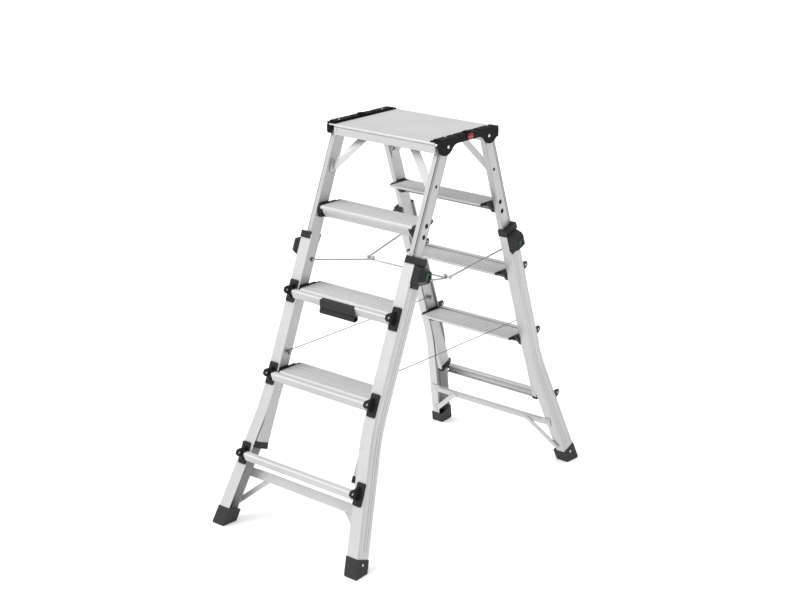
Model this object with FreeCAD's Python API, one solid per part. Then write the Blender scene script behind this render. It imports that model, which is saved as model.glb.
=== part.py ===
import FreeCAD, Part
import os, math

V = FreeCAD.Vector
os.makedirs("parts", exist_ok=True)

# ---------------------------------------------------------------- driving sizes
THETA = 21.1            # lean of each frame from the vertical, degrees
PIV_Y = 109.5           # hinge pivots, half spacing front to back
PIV_Z = 1278.0          # height of the hinge pivots
PITCH = 280.0           # rung and lock-hole pitch along the stile
S_RIV3 = 562.0          # distance down the stile from pivot to step 3 rivet
DECK_TOP = 1298.0       # top of the platform plate
DECK_HX = 215.0         # half width of the platform plate
DECK_HY = 167.0         # half depth of the platform plate
DECK_T = 4.0

# inner (upper, telescoping) stile, a closed rectangular extrusion
IN_X0, IN_X1 = 202.0, 220.0
IN_N0, IN_N1 = -19.0, 31.0
IN_BOT = 1085.0
IN_WALL = 2.3

# outer (lower) stile, a channel open towards the ladder's middle
OUT_XC = 214.0          # centre of the front flange across the ladder
OUT_HW = 21.0           # half width of the flange
OUT_N0, OUT_N1 = -23.5, 35.0
OUT_T = 2.5
OUT_TOP = 366.0
BEND_S = 934.0          # where the lower legs start to splay sideways
SPLAY = 9.37            # sideways splay of the lower legs, degrees
BEND_L = 60.0           # tangent length of that bend
FOOT_S = 1358.0

STEP4_Z = 1039.0        # height of the top of step 4, next below the platform
VP = PITCH * math.cos(math.radians(THETA))   # vertical pitch of the steps
HP = PITCH * math.sin(math.radians(THETA))   # setback of each step

INNER_TREAD_Y0 = 127.0  # rear edge of the inner tread 4
INNER_TREAD_Y1 = 240.0  # front edge of the inner tread 4
INNER_HX = 188.5        # half length of the inner treads, between their end caps
TREAD_HX = 197.5        # half length of the outer treads
OUTER_NOSE = 31.0       # how far an outer tread stands in front of its stiles
SKIRT_H = 39.0          # height of an inner tread's front face
NOSE_R = 9.0            # rounding of an inner tread's nose
BULGE = 2.4             # swell of its front face
SKIRT_RUN = 17.0        # how far the foot of that face stands back from its nose
OUTER_RUN = 9.0         # the same for an outer tread
OUTER_SKIRT = 30.0      # height of an outer tread's front face
GROOVE_Y = (216.0, 193.5, 171.0, 146.0)   # dark grooves of the inner tread 4

BOLT_R = 5.0            # hinge bolt
BOLT_CLEAR = 0.05

ROD_R = 3.0             # spreader rod
SP_S, SP_N = 447.0, -6.0   # where the spreader rods enter the stiles
KNUCKLE_Y, KNUCKLE_Z = -2.0, 814.0   # where the spreader's two halves are joined
WIRE_R = 1.5           # restraint wire
WI_S, WI_N = 758.0, 0.0    # where the left restraint wire hooks on
WI_S_R = 752.0             # and the right one
LOCK_S, LOCK_N = 409.8, 0.5  # lock pin, on the second hole of the row
HOLE_S = 129.8          # first lock hole
TRAVEL = 12.0           # lock pin travel

C, S = math.cos(math.radians(THETA)), math.sin(math.radians(THETA))

# ---------------------------------------------------------------- helpers
def lbox(x0, x1, s0, s1, n0, n1):
    """box in the stile frame: x across, s down the stile, n outward"""
    return Part.makeBox(x1 - x0, n1 - n0, s1 - s0, V(x0, -n1, -s1))

def lp(x, s, n):
    return V(x, -n, -s)

FRONT_PL = FreeCAD.Placement(V(0, -PIV_Y, PIV_Z), FreeCAD.Rotation(V(1, 0, 0), -THETA))

def front(shape):
    """stile frame to the ladder's frame, front side"""
    m = FRONT_PL.toMatrix()
    return shape.transformGeometry(m) if False else _moved(shape, FRONT_PL)

def _moved(shape, pl):
    s = shape.copy()
    s.Placement = pl.multiply(s.Placement)
    return s

HALF_TURN = FreeCAD.Placement(V(0, 0, 0), FreeCAD.Rotation(V(0, 0, 1), 180))

def back(shape):
    return _moved(shape, HALF_TURN)

def mirx(shape):
    return shape.mirror(V(0, 0, 0), V(1, 0, 0))

def cyl(r, h, p, d):
    return Part.makeCylinder(r, h, p, d)

def sweep_poly(pts, vec):
    w = Part.makePolygon(pts + [pts[0]])
    return Part.Face(w).extrude(vec)

def fuse(shapes):
    r = shapes[0]
    for s in shapes[1:]:
        r = r.fuse(s)
    return r.removeSplitter()

def comp(shapes):
    out = []
    for s in shapes:
        out += s.Solids
    return Part.makeCompound(out)

def save(name, shape):
    sol = shape.Solids
    shp = sol[0] if len(sol) == 1 else Part.makeCompound(sol)
    shp.exportStep("parts/%s.step" % name)
    print(name, len(sol), "vol", round(shape.Volume), "ok" if shape.isValid() else "INVALID")

def both_x(shape):
    return comp([shape, mirx(shape)])

def dome(r, h, p, d):
    """low rivet head: flat disc with a chamfered rim"""
    a = cyl(r, h * 0.5, p, d)
    q = V(p.x + d.x * h * 0.5, p.y + d.y * h * 0.5, p.z + d.z * h * 0.5)
    b = Part.makeCone(r, r * 0.62, h * 0.5, q, d)
    return a.fuse(b).removeSplitter()

# ---------------------------------------------------------------- platform
def deck():
    z0, z1 = DECK_TOP - DECK_T, DECK_TOP
    p = Part.makeBox(2 * DECK_HX, 2 * DECK_HY, DECK_T, V(-DECK_HX, -DECK_HY, z0))
    p = p.makeFillet(1.4, [e for e in p.Edges if abs(e.BoundBox.ZLength) < 1e-6 and e.BoundBox.YLength < 1e-6 and e.BoundBox.ZMin > z1 - 0.1])
    # shallow seats for the flanges of the hinge brackets
    for sx in (-1, 1):
        p = p.cut(Part.makeBox(40.0, 2 * DECK_HY + 2, 1.0, V(194.7 if sx > 0 else -234.7, -DECK_HY - 1, z1 - 0.2)))
    # stiffening ribs under the plate
    ribs = [Part.makeBox(2 * DECK_HX - 24, 3, 14, V(-DECK_HX + 12, y - 1.5, z0 - 14)) for y in (-60, 0, 60)]
    return fuse([p] + ribs)

AP_X0, AP_X1 = -193.0, 218.0
def apron():
    y0 = -DECK_HY
    a = Part.makeBox(AP_X1 - AP_X0, 3.0, 30.0, V(AP_X0, y0, DECK_TOP - DECK_T - 30.0))
    lip = Part.makeBox(AP_X1 - AP_X0, 10.0, 2.5, V(AP_X0, y0, DECK_TOP - DECK_T - 30.0))
    b = fuse([a, lip])
    return b.cut(Part.makeBox(AP_X1 - AP_X0 + 2, 1.8, 1.8, V(AP_X0 - 1, y0 - 0.1, 1288.8)))

LOBE_R = 42.0
LOBE_Y, LOBE_Z = 119.5, 1293.0
BR_TOP = 1302.0
BR_X0, BR_X1 = 222.0, 227.0
def bracket():
    # side plate: two round lobes joined by an arch
    pts = []
    a0 = math.radians(200)
    def arc(cy, cz, r, a, b, n=16):
        return [V(BR_X0, cy + r * math.cos(math.radians(a + (b - a) * i / n)),
                  cz + r * math.sin(math.radians(a + (b - a) * i / n))) for i in range(n + 1)]
    # outline, seen from +X, counter-clockwise from the front top corner
    P = lambda y, z: V(BR_X0, y, z)
    yl = -LOBE_Y
    w = []
    # front lobe: from its left side down and round to the right
    aL, aR = 184.0, 328.0
    def pt(cy, a):
        return P(cy + LOBE_R * math.cos(math.radians(a)), LOBE_Z + LOBE_R * math.sin(math.radians(a)))
    e = []
    top = BR_TOP - 1.0
    p_tl, p_l = P(-160.0, top), pt(-LOBE_Y, aL)
    p_m = pt(-LOBE_Y, (aL + aR) / 2)
    p_r = pt(-LOBE_Y, aR)
    arch_a = P(-58.0, 1281.5)
    arch_b = P(58.0, 1281.5)
    q_l, q_m, q_r = P(-p_r.y, p_r.z), P(-p_m.y, p_m.z), P(-p_l.y, p_l.z)
    q_tr = P(160.0, top)
    e.append(Part.LineSegment(p_tl, p_l).toShape())
    e.append(Part.Arc(p_l, p_m, p_r).toShape())
    e.append(Part.Arc(p_r, P(-71.5, 1278.9), arch_a).toShape())
    e.append(Part.LineSegment(arch_a, arch_b).toShape())
    e.append(Part.Arc(arch_b, P(71.5, 1278.9), q_l).toShape())
    e.append(Part.Arc(q_l, q_m, q_r).toShape())
    e.append(Part.LineSegment(q_r, q_tr).toShape())
    e.append(Part.LineSegment(q_tr, p_tl).toShape())
    plate = Part.Face(Part.Wire(e)).extrude(V(BR_X1 - BR_X0, 0, 0))
    # root of the bracket beside the end of the deck
    root = Part.makeBox(BR_X0 - (DECK_HX + 0.3) + 0.5, 320, BR_TOP - 1293.0, V(DECK_HX + 0.3, -160, 1293.0))
    # thin flange over the plate's end, raised in three pads
    fl = Part.makeBox(BR_X1 - 195.0, 326.0, BR_TOP - DECK_TOP + 0.2, V(195.0, -163.0, DECK_TOP - 0.2))
    pads = [Part.makeBox(BR_X1 - 199.0, y1 - y0, 3.0, V(199.0, y0, BR_TOP)) for y0, y1 in ((-150.0, -58.0), (-50.0, 50.0), (58.0, 150.0))]
    # corner wrap onto the end of the front or back apron
    # rear corner: a thin lobe edge with an inner return along the end of the plate
    ret = [V(205.0, 160.2, 1293.9), V(205.0, 160.2, 1276.0), V(213.0, 160.2, 1267.0), V(222.5, 160.2, 1264.0), V(222.5, 160.2, 1293.9)]
    wrap = sweep_poly(ret, V(0, 3.0, 0))
    wrap = wrap.fuse(Part.makeBox(5.0, 12.0, 26.0, V(BR_X0, 151.2, 1268.0)))
    b = fuse([plate, root, fl] + pads)
    b = fuse([b, wrap])
    # bolt holes
    for sy in (-1, 1):
        b = b.cut(cyl(BOLT_R + BOLT_CLEAR, 60, V(180, sy * PIV_Y, PIV_Z), V(1, 0, 0)))
    # seat for the fold latch
    b = b.cut(Part.makeBox(20.0, 24.6, 21.3, V(217.0, LATCH_Y - 12.3, 1283.0)))
    # raised guard over the latch
    b = fuse([b, Part.makeBox(17.0, 20.0, 4.6, V(205.0, LATCH_Y - 10.0, BR_TOP + 2.5))])
    return b

LATCH_Y = 4.0
def latch():
    # red push latch at the middle of the bracket, with a ribbed thumb face
    x0 = 221.4
    pts = [V(x0, LATCH_Y - 12.0, 1283.4), V(x0, LATCH_Y - 12.0, 1304.0), V(x0 + 4.0, LATCH_Y - 12.0, 1304.0), V(x0 + 9.4, LATCH_Y - 12.0, 1302.6),
           V(x0 + 10.6, LATCH_Y - 12.0, 1298.0), V(x0 + 10.6, LATCH_Y - 12.0, 1287.0), V(x0 + 9.2, LATCH_Y - 12.0, 1283.4)]
    b = sweep_poly(pts, V(0, 24.0, 0))
    for k in range(2):
        b = b.cut(Part.makeBox(2.0, 19.0, 1.4, V(x0 + 9.8, LATCH_Y - 9.5, 1290.0 + 4.4 * k)))
    return b.removeSplitter()

def pivot_bolts(sx=1):
    out = []
    for y in (-PIV_Y, PIV_Y):
        sh = cyl(BOLT_R, 228.0 - 197.5, V(197.5, y, PIV_Z), V(1, 0, 0))
        hd = dome(5.6, 2.0, V(BR_X1 + 0.0, y, PIV_Z), V(1, 0, 0))
        nut = cyl(8.0, 4.0, V(197.6, y, PIV_Z), V(1, 0, 0))
        out.append(fuse([sh.common(Part.makeBox(40, 60, 60, V(197.5, y - 30, PIV_Z - 30))), hd, nut]))
    if sx < 0:
        out = [mirx(o) for o in out]
    return out

def deck_rivets():
    out = []
    for sx in (1, -1):
        for y in (-100.0, 125.0):
            out.append(dome(4.2, 2.0, V(sx * 207.0, sx * y, BR_TOP + 3.0), V(0, 0, 1)))
    # apron rivets, front and back
    for x in (-186.0, 212.0):
        out.append(dome(4.2, 2.0, V(x, -DECK_HY, 1281.0), V(0, -1, 0)))
        out.append(dome(4.2, 2.0, V(-x, DECK_HY, 1281.0), V(0, 1, 0)))
    return comp(out)

# ---------------------------------------------------------------- inner frame
def inner_stile():
    # side outline with a shaped head round the pivot
    head = [(-19.0, 6.0), (-12.0, -7.0), (-5.0, -12.0), (5.0, -12.0), (14.0, -8.0), (31.0, 9.0)]
    pts = [lp(IN_X0, s, n) for n, s in head] + [lp(IN_X0, IN_BOT, IN_N1), lp(IN_X0, IN_BOT, IN_N0)]
    outer = sweep_poly(pts, V(IN_X1 - IN_X0, 0, 0))
    core = lbox(IN_X0 + IN_WALL, IN_X1 - IN_WALL, 26.0, IN_BOT + 1, IN_N0 + IN_WALL, IN_N1 - IN_WALL)
    st = outer.cut(core)
    # two long grooves near the front edge of the outer side
    for n in (20.8, 27.6):
        st = st.cut(lbox(IN_X1 - 1.4, IN_X1 + 1, 14.0, IN_BOT + 1, n, n + 2.4))
    X = V(1, 0, 0)
    st = st.cut(cyl(BOLT_R + BOLT_CLEAR, 40, lp(IN_X0 - 10, 0, 0), X))
    # row of lock holes through the outer wall
    for k in range(4):
        st = st.cut(cyl(5.6, 8, lp(IN_X1 - 5, HOLE_S + k * PITCH, LOCK_N), X))
    # pairs of holes over the tread fixings
    for k in range(3):
        for ds in (-25.5, 10.8):
            st = st.cut(cyl(8.2, 8, lp(IN_X1 - 5, 282.0 + ds + k * PITCH, -1.0), X))
    # holes for the spreader rod ends and the wire hooks, inner wall
    st = st.cut(cyl(ROD_R + 0.05, 8, lp(IN_X0 - 4, SP_S, SP_N), X))
    return st

def tread_profile(y0, y1, zt, skirt, run, rear, grooves, gw, gd, lip=11.0, nose_r=5.0, wall=2.4, foot_up=0.0, bulge=0.0):
    """cross-section of a grooved step, in the Y-Z plane at x = 0; y grows to the rear and the front face leans back"""
    P = lambda y, z: V(0, y, z)
    deep = max(gd, 1.0) + 2.2
    top = [P(y0, zt - nose_r)] + [P(y0 + nose_r * (1 - math.cos(a)), zt - nose_r * (1 - math.sin(a)))
                                  for a in (math.radians(30), math.radians(60))] + [P(y0 + nose_r, zt)]
    for u in sorted(grooves):
        top += [P(u - gw * 0.5, zt), P(u - gw * 0.5, zt - gd), P(u + gw * 0.5, zt - gd), P(u + gw * 0.5, zt)]
    top += [P(y1, zt)]
    slope = (run + 0.0) / (skirt - nose_r)
    zb = zt - skirt
    bot = [P(y1, zt - rear), P(y1 - wall, zt - rear), P(y1 - wall, zt - deep), P(y0 + wall + 3.0, zt - deep),
           P(y0 + wall + 1.2, zt - nose_r - 2.4), P(y0 + run + wall + 0.6, zb + wall + 2.0), P(y0 + run + wall + 2.6, zb + wall),
           P(y0 + run + lip, zb + wall - foot_up), P(y0 + run + lip, zb - foot_up), P(y0 + run + 3.0, zb), P(y0 + run, zb + 2.6)]
    # the front face swells a little between nose and foot
    for t in ((0.75, 0.5, 0.25) if bulge else ()):
        bot.append(P(y0 + run * t - 4.0 * bulge * t * (1 - t), zt - nose_r + (2.6 - skirt + nose_r) * t))
    return top + bot

def tread(pts, hx):
    f = Part.Face(Part.makePolygon(pts + [pts[0]]))
    f.translate(V(-hx, 0, 0))
    return f.extrude(V(2 * hx, 0, 0))

def inner_tread(k):
    """k = 4, 3, 2: front side, in the ladder's frame"""
    i = 4 - k
    pts = tread_profile(-INNER_TREAD_Y1 - i * HP, -INNER_TREAD_Y0 - i * HP, STEP4_Z - i * VP, SKIRT_H, SKIRT_RUN, 7.0,
                        [-y - i * HP for y in GROOVE_Y], 2.2, 2.2, nose_r=NOSE_R, bulge=BULGE)
    return tread(pts, INNER_HX)

def tread_cap(k, sx=1):
    """black moulded cap between the tread's end and the stile"""
    i = 4 - k
    y0, y1, zt = -231.0 - i * HP, -INNER_TREAD_Y0 - i * HP, STEP4_Z - i * VP
    x0 = INNER_HX + 0.1
    pts = [V(x0, y0 - 8.0, zt - 8.0), V(x0, y0 - 2.0, zt + 1.0), V(x0, y0 + 10.0, zt + 1.6), V(x0, y1 + 2.0, zt + 1.2), V(x0, y1 + 2.0, zt - 8.0),
           V(x0, y0 + 66.0, zt - 8.5), V(x0, y0 + 42.0, zt - 31.0), V(x0, y0 + 34.0, zt - SKIRT_H - 1.5), V(x0, y0 - 1.0, zt - SKIRT_H - 1.5)]
    c = sweep_poly(pts, V(IN_X0 - 0.05 - x0, 0, 0))
    # rim that stands up beside the stile
    rim = [V(IN_X0 - 5.0, y0 + 1.0, zt + 0.8), V(IN_X0 - 5.0, y0 + 5.0, zt + 4.4), V(IN_X0 - 5.0, y0 + 40.0, zt + 4.4), V(IN_X0 - 5.0, y0 + 52.0, zt + 0.8)]
    c = c.fuse(sweep_poly(rim, V(4.95, 0, 0)))
    # cover over the end of the nose and its leaning front face
    nose = -INNER_TREAD_Y1 - i * HP
    Q = lambda y, z: V(178.5, nose + y, zt + z)
    curve = lambda t, off: Q(SKIRT_RUN * t - 4.0 * BULGE * t * (1 - t) - off, -NOSE_R + (2.6 - SKIRT_H + NOSE_R) * t)
    face = [Q(-0.3, -8.4), Q(-1.6, -NOSE_R)] + [curve(t, 1.6) for t in (0.25, 0.5, 0.75)]
    face += [Q(SKIRT_RUN - 1.6, -SKIRT_H + 1.6), Q(SKIRT_RUN + 2.4, -SKIRT_H - 1.5), Q(SKIRT_RUN + 10.0, -SKIRT_H - 1.5),
             Q(SKIRT_RUN + 10.0, -SKIRT_H - 0.15), Q(SKIRT_RUN + 3.0, -SKIRT_H - 0.15), Q(SKIRT_RUN - 0.3, -SKIRT_H + 2.6)]
    face += [curve(t, 0.3) for t in (0.75, 0.5, 0.25)] + [Q(-0.3, -NOSE_R - 0.1)]
    c = c.fuse(sweep_poly(face, V(x0 + 3.0 - 178.5, 0, 0)))
    # the rear end is slim and stops short of the tread's rear edge
    c = c.cut(Part.makeBox(20.0, 40.0, 40.0, V(IN_X0 - 8.6, y1 - 22.0, zt - 20.0)))
    c = c.cut(Part.makeBox(20.0, 20.0, 40.0, V(x0 - 1.0, y1 - 5.0, zt - 20.0))).removeSplitter()
    return c if sx > 0 else mirx(c)

def top_bracing():
    rail = lbox(-IN_X0 + 0.1, IN_X0 - 0.1, 6.0, 30.0, 6.8, 9.8)
    br = []
    for sx in (1, -1):
        # flat bar from the stile up to the rail
        x_lo, s_lo, x_hi, s_hi = 195.0, 132.0, 100.0, 20.0
        dx, ds = x_hi - x_lo, s_hi - s_lo
        L = math.hypot(dx, ds)
        ux, us = dx / L, ds / L
        hw = 14.0
        px, ps = -us * hw, ux * hw
        pts = [lp(x_lo + px, s_lo + ps, 3.5), lp(x_hi + px, s_hi + ps, 3.5), lp(x_hi - px, s_hi - ps, 3.5), lp(x_lo - px, s_lo - ps, 3.5)]
        bar = sweep_poly(pts, V(0, -3.0, 0))
        bar = bar.common(lbox(0, IN_X0 - 0.1, 4.0, 160.0, -20, 40))
        tab = lbox(IN_X0 - 3.1, IN_X0 - 0.1, 112.0, 152.0, -12.0, 18.0)
        b = fuse([bar, tab])
        br.append(b if sx > 0 else mirx(b))
    return comp([rail] + br)

def bottom_cap():
    c = lbox(IN_X0 - 1.2, IN_X1 + 1.2, IN_BOT + 0.1, IN_BOT + 10.0, IN_N0 - 0.8, IN_N1 + 0.9)
    sk = lbox(IN_X0 - 1.2, IN_X0 - 0.1, IN_BOT - 12.0, IN_BOT + 0.2, IN_N0 + 1.0, IN_N1 + 0.9)
    fr_ = lbox(IN_X0 - 1.2, IN_X1 - 1.0, IN_BOT - 12.0, IN_BOT + 0.2, IN_N1 + 0.1, IN_N1 + 0.9)
    return fuse([c, sk, fr_])

def inner_rivets():
    out = []
    for sx in (1, -1):
        # brace fixings, on the inner face of the stile
        out.append(dome(6.0, 3.0, lp(sx * (IN_X0 - 3.1), 134.0, -4.2), V(-sx, 0, 0)))
        # rail to brace
        out.append(dome(4.5, 2.2, lp(sx * 103.0, 20.0, 9.8), V(0, -1, 0)))
    return comp(out)

# ---------------------------------------------------------------- outer frame
PHI = math.radians(SPLAY)
BR = BEND_L / math.tan(PHI / 2)
S_A = BEND_S - BEND_L
LEN2 = 0.0
def leg_pt(s_end, d):
    """point on the splayed part at distance s_end (measured down the stile), offset d outward"""
    # point on centre line
    xb, sb = OUT_XC + BEND_L * math.sin(PHI), BEND_S + BEND_L * math.cos(PHI)
    t = (s_end - sb) / math.cos(PHI)
    return (xb + t * math.sin(PHI) + d * math.cos(PHI), s_end - d * math.sin(PHI))

def strip(d0, d1, n0, n1, s_top=OUT_TOP, s_end=FOOT_S):
    """band that follows the stile between the offsets d0 < d1, thick from n0 to n1"""
    cx = OUT_XC + BR
    def pts(d):
        r = BR - d
        A = lp(OUT_XC + d, S_A, n0)
        M = lp(cx - r * math.cos(PHI / 2), S_A + r * math.sin(PHI / 2), n0)
        B = lp(cx - r * math.cos(PHI), S_A + r * math.sin(PHI), n0)
        ex, es = leg_pt(s_end, d)
        return A, M, B, lp(ex, es, n0)
    A0, M0, B0, E0 = pts(d0)
    A1, M1, B1, E1 = pts(d1)
    T0, T1 = lp(OUT_XC + d0, s_top, n0), lp(OUT_XC + d1, s_top, n0)
    e = [Part.LineSegment(T0, A0).toShape(), Part.Arc(A0, M0, B0).toShape(), Part.LineSegment(B0, E0).toShape(),
         Part.LineSegment(E0, E1).toShape(), Part.LineSegment(E1, B1).toShape(), Part.Arc(B1, M1, A1).toShape(),
         Part.LineSegment(A1, T1).toShape(), Part.LineSegment(T1, T0).toShape()]
    return Part.Face(Part.Wire(e)).extrude(V(0, -(n1 - n0), 0))

def outer_stile():
    fr_ = strip(-OUT_HW, OUT_HW, OUT_N1 - OUT_T, OUT_N1)
    web = strip(OUT_HW - OUT_T, OUT_HW, OUT_N0, OUT_N1)
    rr = strip(-OUT_HW + 10.5, OUT_HW, OUT_N0, OUT_N0 + OUT_T)
    st = fuse([fr_, web, rr])
    X = V(1, 0, 0)
    # two shallow lines along the outside of the web
    for n in (4.4, -8.4):
        st = st.cut(strip(OUT_HW - 0.8, OUT_HW + 1.0, n, n + 2.0, OUT_TOP - 1.0, FOOT_S - 60.0))
    # lock pin hole through the web
    st = st.cut(cyl(5.6, 12, lp(OUT_XC + OUT_HW - 8, LOCK_S, LOCK_N), X))
    return st

def splay_x(s):
    """centre of the stile across the ladder at the distance s"""
    if s <= S_A:
        return OUT_XC
    sb = BEND_S + BEND_L * math.cos(PHI)
    if s >= sb:
        return leg_pt(s, 0.0)[0]
    a = math.asin((s - S_A) / BR)
    return OUT_XC + BR * (1 - math.cos(a))

def step_off(k):
    """how far the bracket of outer step k stands outside the straight stile"""
    return splay_x(S_RIV3 + (3 - k) * PITCH) - OUT_XC

def outer_front(zt):
    """y of the stile's front flange at the height zt, front side"""
    s_at = (PIV_Z - zt + OUT_N1 * S) / C
    return -(PIV_Y + s_at * S + OUT_N1 * C)

def outer_tread(k):
    """k = 3, 2, 1: front side, in front of the stile's front flange"""
    zt = STEP4_Z - (4 - k) * VP
    y_f = outer_front(zt)
    pts = tread_profile(y_f - OUTER_NOSE, y_f - 9.0, zt, OUTER_SKIRT, OUTER_RUN, 6.5, [], 3.0, 1.0, lip=11.0, foot_up=2.0)
    return tread(pts, TREAD_HX + step_off(k))

EAR_N = 71.0
def tread_bracket(k, sx=1):
    s = S_RIV3 + (3 - k) * PITCH
    o = step_off(k)
    x0, x1 = 198.5 + o, 232.5 + o
    plate = lbox(x0, x1, s - 37.5, s + 37.5, OUT_N1 + 0.1, OUT_N1 + 4.0)
    plate = plate.makeChamfer(3.0, [e for e in plate.Edges if abs(e.BoundBox.YLength - 3.9) < 0.01])
    # forward ear that carries the end of the tread
    ear = [lp(209.0 + o, s + a, n) for a, n in ((-24, 37), (-24, 45), (-15, 62), (-13, 71), (-7, 82), (7, 82), (13, 71), (13, 62), (22, 46), (22, 37))]
    ear = sweep_poly(ear, V(6.0, 0, 0))
    b = fuse([plate, ear])
    # boss between the ear and the tread's end
    boss = [lp(TREAD_HX + o + 0.1, s + a, n) for a, n in ((-10, 39), (-10, 54), (-4, 60), (8, 60), (14, 52), (14, 39))]
    b = fuse([b, sweep_poly(boss, V(209.0 + 0.5 - TREAD_HX - 0.1, 0, 0))])
    return b if sx > 0 else mirx(b)

def lock_collar(sx=1):
    # ring that guides the inner stile at the top of the channel
    ring = lbox(197.5, 237.6, 359.0, 382.0, 20.0, OUT_N1 + 2.4)
    ring = fuse([ring, lbox(203.5, 237.6, 359.0, 382.0, OUT_N0 - 2.3, 21.0)])
    ring = ring.cut(lbox(OUT_XC - OUT_HW - 0.1, OUT_XC + OUT_HW + 0.1, OUT_TOP - 0.1, 400.0, OUT_N0 - 0.1, OUT_N1 + 0.1))
    ring = ring.cut(lbox(190.0, IN_X1 + 0.35, 350.0, 400.0, IN_N0 - 0.35, IN_N1 + 0.35))
    # housing on the outer side of the channel
    x0 = OUT_XC + OUT_HW + 0.1
    a = [lp(x0, s, 40.0) for s in (0,)]
    prof = [(x0, 381.0), (243.0, 384.0), (270.0, 393.0), (275.0, 398.0), (275.0, 424.0), (270.0, 430.0), (243.0, 441.0), (x0, 444.0)]
    A = sweep_poly([lp(x, s, 40.0) for x, s in prof], V(0, 80.0, 0))
    sec = [(x0, -22.0), (x0, 31.0), (258.0, 29.0), (270.0, 22.0), (275.0, 12.0), (275.0, -14.0), (268.0, -19.0), (250.0, -22.0)]
    B = sweep_poly([lp(x, 340.0, n) for x, n in sec], V(0, 0, -140.0))
    h = A.common(B)
    # recess for the release slider and bore for its pin
    h = h.cut(lbox(264.0, 280.0, 397.5, 424.5, LOCK_N - 11.0, LOCK_N + 10.4))
    h = h.cut(cyl(5.6, 60, lp(225.0, LOCK_S, LOCK_N), V(1, 0, 0)))
    ring = ring.cut(lbox(x0, 245.0, 380.9, 383.0, -22.0, 34.0))
    c = fuse([ring, h])
    # foot of the housing: short tongue against the web
    c = fuse([c, lbox(x0, x0 + 3.0, 443.0, 457.0, -14.0, 26.0)])
    return c if sx > 0 else mirx(c)

def lock_release(sx=1):
    # pin with its release slider, in the engaged position, the nose short of the stile
    pin = cyl(5.0, 45.0, lp(IN_X1 + 0.3, LOCK_S, LOCK_N), V(1, 0, 0))
    sl = lbox(264.6, 270.0, 398.1, 423.9, LOCK_N - 10.4, LOCK_N + 9.8)
    grip = lbox(269.8, 274.2, 400.0, 403.5, LOCK_N - 9.4, LOCK_N + 8.8)
    grip2 = lbox(269.8, 272.6, 417.5, 420.5, LOCK_N - 9.4, LOCK_N + 8.8)
    r = fuse([pin, sl, grip, grip2])
    return r if sx > 0 else mirx(r)

def bottom_bracing():
    nb = OUT_N0 - 0.1
    bar = lbox(-264.0, 264.0, 1170.0, 1200.0, nb - 3.0, nb)
    lip = lbox(-228.0, 228.0, 1170.0, 1173.0, nb - 12.0, nb - 2.9)
    bar = fuse([bar, lip])
    out = [bar]
    for sx in (1, -1):
        x_a, s_a, x_b, s_b = 160.0, 1186.0, 274.0, 1294.0
        dx, ds = x_b - x_a, s_b - s_a
        L = math.hypot(dx, ds)
        ux, us = dx / L, ds / L
        hw = 9.0
        ext = 10.0
        xa, sa, xb, sb = x_a - ux * ext, s_a - us * ext, x_b + ux * ext * 0.3, s_b + us * ext * 0.3
        px, ps = -us * hw, ux * hw
        n = nb - 3.1
        pts = [lp(xa + px, sa + ps, n), lp(xb + px, sb + ps, n), lp(xb - px, sb - ps, n), lp(xa - px, sa - ps, n)]
        d = sweep_poly(pts, V(0, 2.5, 0))
        pack = cyl(8.5, 3.1, lp(x_b - 5.0, s_b - 5.0, nb), V(0, 1, 0))
        d = fuse([d, pack])
        out.append(d if sx > 0 else mirx(d))
    return comp(out)

def shoe(sx=1):
    """moulded foot round the end of the leg, cut level with the floor"""
    w = 2.0
    body = strip(-OUT_HW - w, OUT_HW + w, OUT_N0 - w, OUT_N1 + w, OUT_TOP, 1430.0)
    body = body.common(lbox(150.0, 400.0, 1317.0, 1500.0, -60.0, 70.0))
    sock = strip(-OUT_HW - 0.1, OUT_HW + 0.1, OUT_N0 - 0.1, OUT_N1 + 0.1, 1200.0, FOOT_S + 0.2)
    # level sole
    body = front(body).cut(Part.makeBox(2000, 2000, 200, V(-1000, -1000, -200)))
    try:
        ed = [e for e in body.Edges if e.BoundBox.ZMax < 0.01 and e.BoundBox.YLength < 0.01]
        ed = sorted(ed, key=lambda e: e.BoundBox.YMin)[:1]
        fb = body.makeFillet(7.0, ed)
        if fb.isValid():
            body = fb
    except Exception:
        pass
    body = body.cut(front(sock))
    # cross grooves of the sole
    for y in (-632, -618, -604, -590):
        body = body.cut(Part.makeBox(120, 3.0, 2.6, V(230, y - 1.5, -1.0)))
    return body if sx > 0 else mirx(body)

def outer_rivets():
    out = []
    for k in (3, 2, 1):
        s = S_RIV3 + (3 - k) * PITCH
        o = step_off(k)
        for sx in (1, -1):
            out.append(dome(4.0, 1.4, lp(sx * (215.0 + o), s, EAR_N), V(sx, 0, 0)))
            out.append(dome(4.0, 1.4, lp(sx * (209.0 + o), s, EAR_N), V(-sx, 0, 0)))
    nb = OUT_N0 - 0.1
    for sx in (1, -1):
        # bottom bar to the flange, brace ends
        out.append(dome(5.0, 2.4, lp(sx * 250.0, 1185.0, nb - 3.0), V(0, 1, 0)))
        out.append(dome(5.0, 2.4, lp(sx * 160.0, 1186.0, nb - 5.6), V(0, 1, 0)))
        out.append(dome(5.0, 2.4, lp(sx * 269.0, 1289.0, nb - 5.6), V(0, 1, 0)))
        qx, qs = leg_pt(1337.0, OUT_HW + 2.0)
        out.append(dome(4.6, 2.2, lp(sx * qx, qs, 6.0), V(sx * math.cos(PHI), 0, math.sin(PHI))))
    return comp(out)

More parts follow.
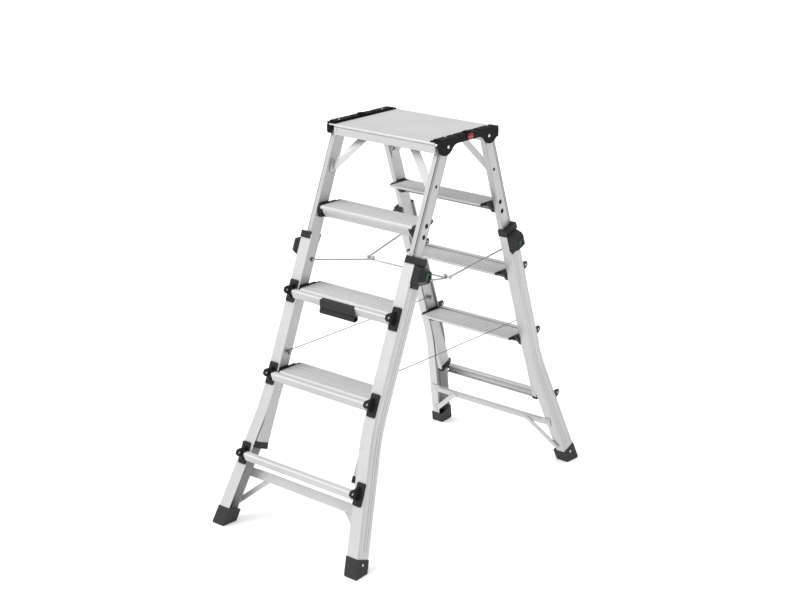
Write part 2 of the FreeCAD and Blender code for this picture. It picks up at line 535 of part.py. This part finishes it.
def grip_handle():
    """carry grip on the front face of the front step 3: a plate over the nose and a closed tube below it"""
    zt = STEP4_Z - VP
    yn = outer_front(zt) - OUTER_NOSE       # front face of the tread
    P = lambda y, z: V(-71.0, yn + y, zt + z)
    g0 = 0.3
    outer = [P(6.6, 0.4), P(6.6, 2.6), P(1.0, 2.4), P(-3.4, -2.6), P(-3.6, -27.5), P(-1.6, -29.0), P(-1.6, -31.0), P(-5.0, -33.0),
             P(-5.2, -43.0), P(-2.0, -49.0), P(6.0, -51.0), P(15.0, -49.5), P(18.5, -45.0), P(18.5, -33.0), P(3.0, -33.0),
             P(1.6, -29.0), P(-g0, -22.0), P(-g0, -4.9), P(1.1, -1.15), P(4.9, g0 + 0.1)]
    b = sweep_poly(outer, V(142.0, 0, 0))
    hollow = [P(-1.8, -36.0), P(-1.8, -42.5), P(0.4, -46.4), P(6.0, -48.0), P(13.6, -46.6), P(15.5, -44.0), P(15.5, -36.0)]
    hollow = [V(v.x - 1.0, v.y, v.z) for v in hollow]
    b = b.cut(sweep_poly(hollow, V(144.0, 0, 0)))
    # two finger lines along the tube
    for z in (-37.0, -41.5):
        b = b.cut(Part.makeBox(150.0, 1.2, 1.2, V(-75.0, yn - 5.6, zt + z)))
    # rounded upper corners of the plate
    for sx in (-1, 1):
        r = 9.0
        cx, cz = sx * (71.0 - r), zt + 2.6 - r
        corner = Part.makeBox(r, 30.0, r, V(cx if sx > 0 else cx - r, yn - 10.0, cz))
        corner = corner.cut(Part.makeCylinder(r, 40.0, V(cx, yn - 15.0, cz), V(0, 1, 0)))
        b = b.cut(corner)
    return b

# ---------------------------------------------------------------- spreader and wires
def g(x, s, n):
    """stile frame to the ladder's frame"""
    return V(x, -(PIV_Y + s * S + n * C), PIV_Z - s * C + n * S)

def tube_path(pts, r):
    """round bar through points, mitred with balls at the corners"""
    out = []
    for a, b in zip(pts[:-1], pts[1:]):
        d = b.sub(a)
        out.append(Part.makeCylinder(r, d.Length, a, d))
    for p in pts[1:-1]:
        out.append(Part.makeSphere(r, p))
    return fuse(out)

SPX = 196.5
K_F, K_B = 158.0, 172.6
EYE_R = 8.0
def spreader_front():
    e = g(IN_X0, SP_S, SP_N)
    yk, zk = KNUCKLE_Y, KNUCKLE_Z - EYE_R + ROD_R - 1.1
    pts = [V(IN_X0 + 1.6, e.y, e.z), V(SPX, e.y, e.z), V(K_F, yk, zk), V(-K_F, yk, zk), V(-SPX, e.y, e.z), V(-IN_X0 - 1.6, e.y, e.z)]
    rod = tube_path(pts, ROD_R)
    # coiled eyes at the knuckles
    eyes = []
    for sx in (1, -1):
        r = Part.makeCylinder(EYE_R, 6.0, V(sx * 153.5 - 3.0, KNUCKLE_Y, KNUCKLE_Z), V(1, 0, 0))
        pin = Part.makeCylinder(3.0, 14.0, V(155.2 if sx > 0 else -155.2 - 14.0, KNUCKLE_Y, KNUCKLE_Z), V(1, 0, 0))
        eyes += [r, pin]
    return fuse([rod] + eyes)

def spreader_back_rod(sx=1):
    e = g(IN_X0, SP_S, SP_N)
    y, z = -e.y, e.z
    pts = [V(sx * (IN_X0 + 1.6), y, z), V(sx * SPX, y, z), V(sx * K_B, KNUCKLE_Y + 4.5, KNUCKLE_Z + 2.0)]
    rod = tube_path(pts, ROD_R)
    eye = Part.makeCylinder(6.2, 6.0, V(sx * K_B - 3.0, KNUCKLE_Y, KNUCKLE_Z), V(1, 0, 0))
    # pin head on the outside
    head = Part.makeCylinder(4.6, 2.4, V(sx * (K_B + 3.0) - (2.4 if sx < 0 else 0.0), KNUCKLE_Y, KNUCKLE_Z), V(1, 0, 0))
    return fuse([rod, eye, head])

WX = 198.4
def wire_half(sx, side):
    """side -1 front, +1 back"""
    e = g(0, WI_S_R if sx > 0 else WI_S, WI_N)
    x = sx * (WX - 1.6 * (1 if side > 0 else -1) * 0.95)
    a = V(x, side * abs(e.y), e.z)
    b = V(x, side * 0.3, e.z)
    return Part.makeCylinder(WIRE_R, a.sub(b).Length, b, a.sub(b))

def anchor_fittings(side):
    """hooks of the two restraint wires and bushes of the spreader rods, on the inner faces of the inner stiles"""
    out = []
    for sx in (1, -1):
        e = g(0, WI_S_R if sx > 0 else WI_S, WI_N)
        y, z = side * (abs(e.y) + 3.4), e.z
        X = V(sx, 0, 0)
        pin = cyl(3.0, 8.9, V(sx * (IN_X0 - 9.0), y, z), X)
        head = cyl(6.8, 2.6, V(sx * (IN_X0 - 9.6), y, z), X)
        beak = Part.makeBox(2.6, 9.0, 5.0, V((IN_X0 - 9.6) if sx > 0 else -(IN_X0 - 7.0), y - 4.5, z - 11.0))
        out.append(fuse([pin, head, beak]))
        q = g(0, SP_S, SP_N)
        yb, zb = side * abs(q.y), q.z
        ring = cyl(6.6, 2.6, V(sx * (IN_X0 - 2.65), yb, zb), X).cut(cyl(ROD_R + 0.06, 6.0, V(sx * (IN_X0 - 4.0), yb, zb), X))
        out.append(ring)
    return comp(out)

# ---------------------------------------------------------------- write
save("deck_panel", deck())
ap = apron()
save("apron_front", ap)
save("apron_back", back(ap))
br_r = bracket()
save("hinge_bracket_right", br_r)
save("hinge_bracket_left", back(br_r))
save("hinge_bolts", comp(pivot_bolts(1) + pivot_bolts(-1)))
save("deck_rivets", deck_rivets())
la = latch()
save("fold_latch_right", la)
save("fold_latch_left", back(la))

ist = inner_stile()
ist_r, ist_l = front(ist), front(mirx(ist))
for tag, f in (("front", lambda s: s), ("back", back)):
    right, left = (ist_r, ist_l) if tag == "front" else (ist_l, ist_r)
    save(tag + "_inner_stile_right", f(right))
    save(tag + "_inner_stile_left", f(left))
    for k in (4, 3, 2):
        save("%s_inner_tread_%d" % (tag, k), f(inner_tread(k)))
    save(tag + "_inner_end_caps", f(comp([tread_cap(k, sx) for k in (4, 3, 2) for sx in (1, -1)] + [front(bottom_cap()), front(mirx(bottom_cap()))])))
    save(tag + "_top_bracing", f(front(top_bracing())))
    save(tag + "_inner_rivets", f(front(inner_rivets())))

ost = outer_stile()
ost_r, ost_l = front(ost), front(mirx(ost))
for tag, f in (("front", lambda s: s), ("back", back)):
    right, left = (ost_r, ost_l) if tag == "front" else (ost_l, ost_r)
    save(tag + "_outer_stile_right", f(right))
    save(tag + "_outer_stile_left", f(left))
    for k in (3, 2, 1):
        save("%s_outer_tread_%d" % (tag, k), f(outer_tread(k)))
    save(tag + "_tread_brackets", f(front(comp([tread_bracket(k, sx) for k in (3, 2, 1) for sx in (1, -1)]))))
    save(tag + "_lock_collars", f(front(comp([lock_collar(1), lock_collar(-1)]))))
    save(tag + "_bottom_bracing", f(front(bottom_bracing())))
    save(tag + "_feet", f(comp([shoe(1), shoe(-1)])))
    save(tag + "_outer_rivets", f(front(outer_rivets())))
    lr, ll = front(lock_release(1)), front(lock_release(-1))
    if tag == "back":
        lr, ll = ll, lr
    save(tag + "_lock_release_right", f(lr))
    save(tag + "_lock_release_left", f(ll))
save("grip_handle", grip_handle())
save("front_anchor_fittings", anchor_fittings(-1))
save("back_anchor_fittings", anchor_fittings(1))
save("spreader_front_link", spreader_front())
save("spreader_back_rod_right", spreader_back_rod(1))
save("spreader_back_rod_left", spreader_back_rod(-1))
for sx, nm in ((1, "right"), (-1, "left")):
    save("wire_front_half_" + nm, wire_half(sx, -1))
    save("wire_back_half_" + nm, wire_half(sx, 1))
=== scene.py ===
import bpy, bmesh, math
from mathutils import Vector, Matrix


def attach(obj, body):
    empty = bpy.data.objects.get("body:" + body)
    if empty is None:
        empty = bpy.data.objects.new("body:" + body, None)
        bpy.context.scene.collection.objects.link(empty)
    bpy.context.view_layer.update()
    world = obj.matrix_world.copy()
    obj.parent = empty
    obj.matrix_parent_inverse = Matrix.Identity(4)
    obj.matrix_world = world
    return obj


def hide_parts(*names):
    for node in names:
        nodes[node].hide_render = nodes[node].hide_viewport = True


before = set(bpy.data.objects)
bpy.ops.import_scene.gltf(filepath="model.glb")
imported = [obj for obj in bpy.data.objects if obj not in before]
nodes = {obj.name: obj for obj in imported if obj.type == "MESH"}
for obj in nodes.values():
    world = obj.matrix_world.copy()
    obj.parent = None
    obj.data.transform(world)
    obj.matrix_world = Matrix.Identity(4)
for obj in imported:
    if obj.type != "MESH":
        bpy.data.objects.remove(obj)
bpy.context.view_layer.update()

scene = bpy.context.scene
THETA = math.radians(21.1)
C, S = math.cos(THETA), math.sin(THETA)
PIV_Y, PIV_Z = 0.1095, 1.278


# ------------------------------------------------------------------ node helpers
class Tree:
    """small helper that builds a material's node tree"""

    def __init__(self, name):
        self.mat = bpy.data.materials.new(name)
        self.mat.use_nodes = True
        self.nt = self.mat.node_tree
        self.nt.nodes.clear()
        self.out = self.add("ShaderNodeOutputMaterial")
        self.bsdf = self.add("ShaderNodeBsdfPrincipled")
        self.link(self.bsdf.outputs[0], self.out.inputs[0])
        self.tc = self.add("ShaderNodeTexCoord")

    def add(self, kind, **kw):
        n = self.nt.nodes.new(kind)
        for k, v in kw.items():
            setattr(n, k, v)
        return n

    def link(self, a, b):
        self.nt.links.new(a, b)

    def coords(self, rot=(0, 0, 0), scale=(1, 1, 1), loc=(0, 0, 0)):
        m = self.add("ShaderNodeMapping")
        m.inputs["Rotation"].default_value = rot
        m.inputs["Scale"].default_value = scale
        m.inputs["Location"].default_value = loc
        self.link(self.tc.outputs["Object"], m.inputs["Vector"])
        return m.outputs[0]

    def noise(self, vec, scale=1.0, detail=3.0, rough=0.55):
        n = self.add("ShaderNodeTexNoise")
        n.inputs["Scale"].default_value = scale
        n.inputs["Detail"].default_value = detail
        n.inputs["Roughness"].default_value = rough
        self.link(vec, n.inputs["Vector"])
        return n.outputs["Fac"]

    def maprange(self, val, lo, hi, a, b):
        n = self.add("ShaderNodeMapRange")
        n.inputs["From Min"].default_value = lo
        n.inputs["From Max"].default_value = hi
        n.inputs["To Min"].default_value = a
        n.inputs["To Max"].default_value = b
        self.link(val, n.inputs["Value"])
        return n.outputs[0]

    def math(self, op, a, b=None):
        n = self.add("ShaderNodeMath", operation=op)
        for i, v in enumerate((a, b)):
            if v is None:
                continue
            if isinstance(v, (int, float)):
                n.inputs[i].default_value = v
            else:
                self.link(v, n.inputs[i])
        return n.outputs[0]

    def mix(self, fac, c1, c2):
        n = self.add("ShaderNodeMix", data_type="RGBA")
        if isinstance(fac, (int, float)):
            n.inputs["Factor"].default_value = fac
        else:
            self.link(fac, n.inputs["Factor"])
        for key, c in (("A", c1), ("B", c2)):
            sock = [s for s in n.inputs if s.name == key and s.type == "RGBA"][0]
            if isinstance(c, tuple):
                sock.default_value = (*c, 1.0) if len(c) == 3 else c
            else:
                self.link(c, sock)
        return [s for s in n.outputs if s.type == "RGBA"][0]

    def bump(self, height, strength, dist, prev=None):
        n = self.add("ShaderNodeBump")
        n.inputs["Strength"].default_value = strength
        n.inputs["Distance"].default_value = dist
        self.link(height, n.inputs["Height"])
        if prev is not None:
            self.link(prev, n.inputs["Normal"])
        return n.outputs[0]

    def painted_crevice_shade(self, col, dist=0.006, depth=0.55):
        """painted shade in grooves and where parts meet: an ambient-occlusion node darkens the colour there"""
        n = self.add("ShaderNodeAmbientOcclusion")
        n.samples = 8
        n.inputs["Distance"].default_value = dist
        f = self.maprange(n.outputs["AO"], 0.35, 0.95, depth, 0.0)
        # the occluded places are mixed towards this painted shade colour
        return self.mix(f, col, (0.02, 0.02, 0.021))

    def lines(self, col, side, offsets, half, xmin, dark=0.75):
        """painted shade along lengthwise lines of an inclined profile: dark lines in its grooves, and a darker whole
        face where an offset lies on a face; offsets are distances outward from the hinge line, in metres
        """
        sep = self.add("ShaderNodeSeparateXYZ")
        self.link(self.tc.outputs["Object"], sep.inputs[0])
        sg = 1.0 if side == "front" else -1.0
        y = self.math("SUBTRACT", self.math("MULTIPLY", sep.outputs["Y"], -sg), PIV_Y)
        z = self.math("SUBTRACT", sep.outputs["Z"], PIV_Z)
        n = self.math("ADD", self.math("MULTIPLY", y, C), self.math("MULTIPLY", z, S))
        ax = self.math("ABSOLUTE", sep.outputs["X"])
        gate = self.math("GREATER_THAN", ax, xmin)
        total = None
        for o in offsets:
            d = self.math("ABSOLUTE", self.math("SUBTRACT", n, o))
            m = self.maprange(d, half * 0.6, half * 1.2, 1.0, 0.0)
            total = m if total is None else self.math("MAXIMUM", total, m)
        f = self.math("MULTIPLY", self.math("MULTIPLY", total, gate), dark)
        # the lines are mixed towards this painted shade colour
        return self.mix(f, col, (0.03, 0.03, 0.031))

    def painted_front_shade(self, col, keep):
        """painted shade on the treads' front faces: everything more than 2 mm below a tread's top is darkened"""
        sep = self.add("ShaderNodeSeparateXYZ")
        self.link(self.tc.outputs["Object"], sep.inputs[0])
        u = self.math("DIVIDE", self.math("SUBTRACT", 1.0400, sep.outputs["Z"]), 0.2612)
        d = self.math("MULTIPLY", self.math("FRACT", u), 0.2612)
        f = self.maprange(d, 0.0022, 0.0060, 0.0, 1.0 - keep)
        return self.mix(f, col, (0.0, 0.0, 0.0))

    def put(self, color=None, rough=None, normal=None, metallic=None, **kw):
        b = self.bsdf
        if color is not None:
            self.link(color, b.inputs["Base Color"])
        if rough is not None:
            self.link(rough, b.inputs["Roughness"])
        if normal is not None:
            self.link(normal, b.inputs["Normal"])
        if metallic is not None:
            b.inputs["Metallic"].default_value = metallic
        for k, v in kw.items():
            b.inputs[k.replace("_", " ")].default_value = v
        return self.mat


def shade(c, k):
    return tuple(min(1.0, x * k) for x in c)


def extruded(name, base, rough, metallic, rot=(0, 0, 0), along="Z", grain=0.05, streak=0.045, painted_groove_shade=None, shade_depth=0.55, shade_dist=0.006, front=1.0):
    """anodised extrusion: fine die lines that run along the profile, cloudy bloom and handling marks, with painted
    shade in its grooves, on tread fronts and in crevices
    """
    t = Tree(name)
    fine, coarse = 1100.0, 170.0
    sc = {"Z": (fine, fine, 5.0), "X": (5.0, fine, fine)}[along]
    sc2 = {"Z": (coarse, coarse, 1.6), "X": (1.6, coarse, coarse)}[along]
    lines = t.noise(t.coords(rot, sc), 1.0, 2.0, 0.6)
    bands = t.noise(t.coords(rot, sc2), 1.0, 2.0, 0.5)
    cloud = t.noise(t.coords((0.3, 0.2, 0.1), (1, 1, 1)), 9.0, 4.0, 0.6)
    spots = t.noise(t.coords((0, 0, 0), (1, 1, 1)), 240.0, 3.0, 0.7)
    f = t.math("ADD", t.maprange(lines, 0.3, 0.7, 0.0, 0.45), t.maprange(bands, 0.3, 0.7, 0.0, 0.4))
    f = t.math("ADD", f, t.maprange(cloud, 0.35, 0.65, 0.0, 0.25))
    col = t.mix(f, shade(base, 1.0 - streak), shade(base, 1.0 + streak))
    dust = t.maprange(spots, 0.64, 0.74, 0.0, 0.5)
    col = t.mix(dust, col, shade(base, 0.90))
    # painted shade lines in the profile's grooves and on its faces
    for args in painted_groove_shade or ():
        col = t.lines(col, *args)
    # painted shade on the treads' front faces
    if front < 1.0:
        col = t.painted_front_shade(col, front)
    # painted shade in grooves and where parts meet
    col = t.painted_crevice_shade(col, shade_dist, shade_depth)
    r = t.math("ADD", t.maprange(lines, 0.3, 0.7, rough - 0.05, rough + 0.05), t.maprange(cloud, 0.3, 0.7, -0.05, 0.07))
    n = t.bump(lines, grain, 0.0003)
    n = t.bump(bands, grain * 0.6, 0.0006, n)
    return t.put(col, r, n, metallic)


def moulded(name, base, rough, grain=0.25, size=1500.0, spec=0.25):
    """injection-moulded plastic: spark-eroded grain, faint flow marks, scuffs that lighten it a little"""
    t = Tree(name)
    g = t.noise(t.coords(), size, 3.0, 0.6)
    cloud = t.noise(t.coords((0.5, 0.1, 0.2)), 22.0, 4.0, 0.6)
    scuff = t.noise(t.coords((0.2, 0.7, 0.3), (1.0, 3.5, 1.0)), 130.0, 4.0, 0.75)
    f = t.math("ADD", t.maprange(g, 0.3, 0.7, 0.0, 0.5), t.maprange(cloud, 0.3, 0.7, 0.0, 0.5))
    col = t.mix(f, shade(base, 0.82), shade(base, 1.22))
    s = t.maprange(scuff, 0.62, 0.72, 0.0, 0.35)
    col = t.mix(s, col, tuple(min(1.0, x * 1.6 + 0.006) for x in base))
    r = t.math("ADD", t.maprange(g, 0.3, 0.7, rough - 0.05, rough + 0.06), t.maprange(scuff, 0.6, 0.72, 0.0, 0.10))
    n = t.bump(g, grain, 0.00025)
    n = t.bump(cloud, 0.05, 0.001, n)
    t.bsdf.inputs["Specular IOR Level"].default_value = spec
    return t.put(col, r, n, 0.0)


def banded(name, base, highlight_col, z0, z1):
    """satin moulding with a painted highlight: a paler band across its face"""
    t = Tree(name)
    g = t.noise(t.coords(), 1400.0, 3.0, 0.6)
    cloud = t.noise(t.coords((0.4, 0.1, 0.3)), 160.0, 4.0, 0.65)
    col = t.mix(t.maprange(cloud, 0.3, 0.7, 0.0, 1.0), shade(base, 0.80), shade(base, 1.20))
    sep = t.add("ShaderNodeSeparateXYZ")
    t.link(t.tc.outputs["Object"], sep.inputs[0])
    lo = t.maprange(sep.outputs["Z"], z0 - 0.0006, z0 + 0.0006, 0.0, 1.0)
    hi = t.maprange(sep.outputs["Z"], z1 - 0.0006, z1 + 0.0006, 1.0, 0.0)
    # painted highlight: a paler band between z0 and z1, broken up by cloud noise
    highlight_breakup = t.maprange(cloud, 0.30, 0.50, 0.55, 1.0)
    col = t.mix(t.math("MULTIPLY", t.math("MULTIPLY", lo, hi), highlight_breakup), col, highlight_col)
    # painted shade where parts meet
    col = t.painted_crevice_shade(col, 0.004, 0.6)
    r = t.maprange(g, 0.3, 0.7, 0.30, 0.42)
    t.bsdf.inputs["Specular IOR Level"].default_value = 0.3
    return t.put(col, r, t.bump(g, 0.10, 0.0002), 0.0)


def steel(name, base, rough, rot=(0, 0, 0)):
    """zinc-plated steel with drawn lines and a faint mottled passivation"""
    t = Tree(name)
    a = t.noise(t.coords(rot, (1.0, 1.0, 1.0)), 700.0, 3.0, 0.6)
    b = t.noise(t.coords(rot, (1.0, 1.0, 1.0)), 60.0, 4.0, 0.65)
    col = t.mix(t.maprange(b, 0.3, 0.7, 0.0, 1.0), shade(base, 0.88), shade(base, 1.08))
    col = t.mix(t.maprange(a, 0.60, 0.72, 0.0, 0.5), col, shade(base, 0.75))
    # painted shade where parts meet
    col = t.painted_crevice_shade(col, 0.003, 0.7)
    r = t.maprange(b, 0.3, 0.7, rough - 0.06, rough + 0.10)
    return t.put(col, r, t.bump(a, 0.15, 0.0002), 0.9)


RF = (math.radians(21.1), 0, 0)     # turns the front stiles' line onto Z
RB = (math.radians(-21.1), 0, 0)
M = {}
for side, rot in (("front", RF), ("back", RB)):
    # painted shade on the inner stiles: the front face a little darker, and dark lines at the front corner and in
    # grooves on the outer side
    M[side + "_stile"] = extruded("stile_alu_" + side, (0.51, 0.51, 0.515), 0.38, 0.40, rot, "Z", 0.06, 0.04,
                                 ((side, (0.0310,), 0.0006, 0.0, 0.10), (side, (0.0302,), 0.0015, 0.2175, 0.82),
                                  (side, (0.0220,), 0.0013, 0.2175, 0.62), (side, (-0.0165,), 0.0015, 0.2175, 0.45)))
    # painted shade line along the outer stile's web near its front corner
    M[side + "_outer"] = extruded("outer_alu_" + side, (0.56, 0.56, 0.565), 0.42, 0.35, rot, "Z", 0.06, 0.035,
                                 ((side, (0.0284,), 0.0016, 0.2338, 0.22),))
# treads: painted shade keeps 0.82 of the colour on their front faces
M["tread"] = extruded("tread_alu", (0.65, 0.65, 0.655), 0.50, 0.30, (0, 0, 0), "X", 0.08, 0.04, None, 0.30, 0.003, 0.82)
M["deck"] = extruded("deck_alu", (0.69, 0.69, 0.70), 0.46, 0.33, (0, 0, 0), "X", 0.05, 0.035)
M["apron"] = extruded("apron_alu", (0.53, 0.53, 0.535), 0.40, 0.35, (0, 0, 0), "X", 0.06, 0.03)
M["brace"] = extruded("brace_alu", (0.55, 0.555, 0.56), 0.44, 0.45, (0, 0, 0), "X", 0.09, 0.06)
M["rivet"] = steel("rivet_alu", (0.62, 0.62, 0.63), 0.38)
M["bolt"] = steel("bolt_zinc", (0.68, 0.68, 0.70), 0.30)
M["hinge"] = moulded("hinge_black", (0.0062, 0.0064, 0.0068), 0.44, spec=0.07)
M["fitting"] = moulded("fitting_black", (0.014, 0.0145, 0.015), 0.46)
M["collar"] = moulded("collar_black", (0.016, 0.017, 0.0175), 0.48)
M["green"] = moulded("release_green", (0.030, 0.110, 0.045), 0.40)
# latch: painted highlight band between z 1.2895 and 1.2945 m
M["latch"] = banded("latch_red", (0.24, 0.034, 0.020), (0.52, 0.15, 0.10), 1.2895, 1.2945)
M["foot"] = moulded("foot_rubber", (0.023, 0.023, 0.024), 0.58, 0.35, 1100.0, 0.32)
M["grip"] = moulded("grip_rubber", (0.018, 0.018, 0.019), 0.55, 0.35, 1100.0, 0.3)
M["anchor"] = steel("anchor_steel", (0.16, 0.16, 0.165), 0.42)
M["rod"] = steel("rod_zinc", (0.50, 0.50, 0.51), 0.34)


def pick(n):
    if "rivets" in n:
        return M["rivet"]
    if n == "hinge_bolts":
        return M["bolt"]
    if "inner_stile" in n:
        return M[n.split("_")[0] + "_stile"]
    if "outer_stile" in n:
        return M[n.split("_")[0] + "_outer"]
    if "end_caps" in n or "tread_brackets" in n:
        return M["fitting"]
    if "tread" in n:
        return M["tread"]
    if "deck" in n:
        return M["deck"]
    if "apron" in n:
        return M["apron"]
    if "anchor" in n:
        return M["anchor"]
    if "bracing" in n:
        return M["brace"]
    if "bracket" in n:
        return M["hinge"]
    if "latch" in n:
        return M["latch"]
    if "collars" in n:
        return M["collar"]
    if "release" in n:
        return M["green"]
    if "feet" in n:
        return M["foot"]
    if "grip" in n:
        return M["grip"]
    return M["rod"]


BEVEL = {"deck_panel": 0.0007}
for n, o in nodes.items():
    o.data.materials.clear()
    o.data.materials.append(pick(n))
    w = o.modifiers.new("weld", "WELD")
    w.merge_threshold = 0.00002
    b = o.modifiers.new("bevel", "BEVEL")
    b.width = BEVEL.get(n, 0.0006)
    b.segments = 2
    b.limit_method = "ANGLE"
    b.angle_limit = math.radians(35)
    b.harden_normals = False

# ------------------------------------------------------------------ restraint wires
def g(s, n):
    """stile frame to the ladder's frame, front side, metres"""
    return -(PIV_Y + s * S + n * C), PIV_Z - s * C + n * S


def wire(name, pts, r, mat, body, node):
    cu = bpy.data.curves.new(name, "CURVE")
    cu.dimensions = "3D"
    sp = cu.splines.new("NURBS")
    sp.points.add(len(pts) - 1)
    for p, q in zip(sp.points, pts):
        p.co = (*q, 1.0)
    sp.order_u = 3
    sp.use_endpoint_u = True
    cu.bevel_depth = r
    cu.bevel_resolution = 3
    cu.use_fill_caps = True
    o = bpy.data.objects.new(name, cu)
    scene.collection.objects.link(o)
    cu.materials.append(mat)
    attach(o, body)
    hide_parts(node)
    return o


def stranded():
    t = Tree("wire_stranded")
    w = t.add("ShaderNodeTexWave", wave_type="BANDS", bands_direction="DIAGONAL")
    w.inputs["Scale"].default_value = 320.0
    w.inputs["Distortion"].default_value = 0.4
    t.link(t.tc.outputs["Object"], w.inputs["Vector"])
    b = t.noise(t.coords(), 90.0, 3.0, 0.6)
    col = t.mix(w.outputs["Fac"], (0.16, 0.16, 0.165), (0.38, 0.38, 0.39))
    col = t.mix(t.maprange(b, 0.4, 0.7, 0.0, 0.5), col, (0.26, 0.26, 0.265))
    r = t.maprange(b, 0.3, 0.7, 0.28, 0.45)
    return t.put(col, r, t.bump(w.outputs["Fac"], 0.5, 0.0004), 0.85)


WM = stranded()
for side, sg in (("front", -1), ("back", 1)):
    for tag, sx, sw in (("right", 1, 0.752), ("left", -1, 0.758)):
        y, z = g(sw, 0.0)
        x = sx * (0.1984 - 0.00152 * (1 if sg > 0 else -1))
        y1 = sg * abs(y)
        L = abs(y1) - 0.0003
        pts = [(x, y1 - sg * L * t, z - 0.0012 * (1 - (2 * t - 1) ** 2) * 0.5) for t in (0.0, 0.2, 0.4, 0.6, 0.8, 1.0)]
        o = wire("wire_%s_%s" % (side, tag), pts, 0.0015, WM, "wires_" + side, "wire_%s_half_%s" % (side, tag))

# ------------------------------------------------------------------ floor and light
bm = bmesh.new()
bmesh.ops.create_grid(bm, x_segments=8, y_segments=8, size=40.0)
me = bpy.data.meshes.new("floor")
bm.to_mesh(me)
bm.free()
floor = bpy.data.objects.new("floor", me)
floor.location = (0, 0, -0.0005)
scene.collection.objects.link(floor)
t = Tree("floor_white")
nz = t.noise(t.coords(), 3.0, 3.0, 0.5)
fm = t.put(t.mix(nz, (0.90, 0.90, 0.90), (0.92, 0.92, 0.92)), t.maprange(nz, 0.3, 0.7, 0.8, 0.9), None, 0.0)
t.bsdf.inputs["Emission Color"].default_value = (1, 1, 1, 1)
t.bsdf.inputs["Emission Strength"].default_value = 0.30
t.bsdf.inputs["Specular IOR Level"].default_value = 0.1
me.materials.append(fm)

world = bpy.data.worlds.new("studio")
scene.world = world
world.use_nodes = True
bg = world.node_tree.nodes["Background"]
bg.inputs[0].default_value = (1, 1, 1, 1)
bg.inputs[1].default_value = 0.45


def sun(name, direction, strength, angle):
    d = bpy.data.lights.new(name, "SUN")
    d.energy = strength
    d.angle = math.radians(angle)
    o = bpy.data.objects.new(name, d)
    o.rotation_mode = "QUATERNION"
    o.rotation_quaternion = (-Vector(direction)).to_track_quat("-Z", "Y")
    scene.collection.objects.link(o)
    return o


sun("key", (-0.36, -0.66, 0.66), 1.70, 40)
sun("top", (0.05, -0.10, 1.0), 1.30, 70)

# ------------------------------------------------------------------ camera, as the photograph was taken
F_PX, CX, CY = 1642.2241, 311.4795, 308.9171
AZ, PIT, ROLL = 0.715863747, 0.325769791, 0.0049461
POS = Vector((3.2046793, -4.1810771, 2.4391531))
fwd = Vector((-math.sin(AZ) * math.cos(PIT), math.cos(AZ) * math.cos(PIT), -math.sin(PIT)))
rt = Vector((math.cos(AZ), math.sin(AZ), 0.0))
up = rt.cross(fwd)
cr, sr = math.cos(ROLL), math.sin(ROLL)
r2 = cr * rt + sr * up
u2 = -sr * rt + cr * up
cam = bpy.data.cameras.new("camera")
cam.sensor_width = 36.0
cam.lens = F_PX * 36.0 / 800.0
cam.shift_x = (400.0 - CX) / 800.0
cam.shift_y = (CY - 300.0) / 800.0
cam.clip_end = 200.0
co = bpy.data.objects.new("camera", cam)
m = Matrix((r2, u2, -fwd)).transposed().to_4x4()
m.translation = POS
co.matrix_world = m
scene.collection.objects.link(co)
scene.camera = co
scene.view_settings.view_transform = "Standard"

bpy.context.view_layer.update()
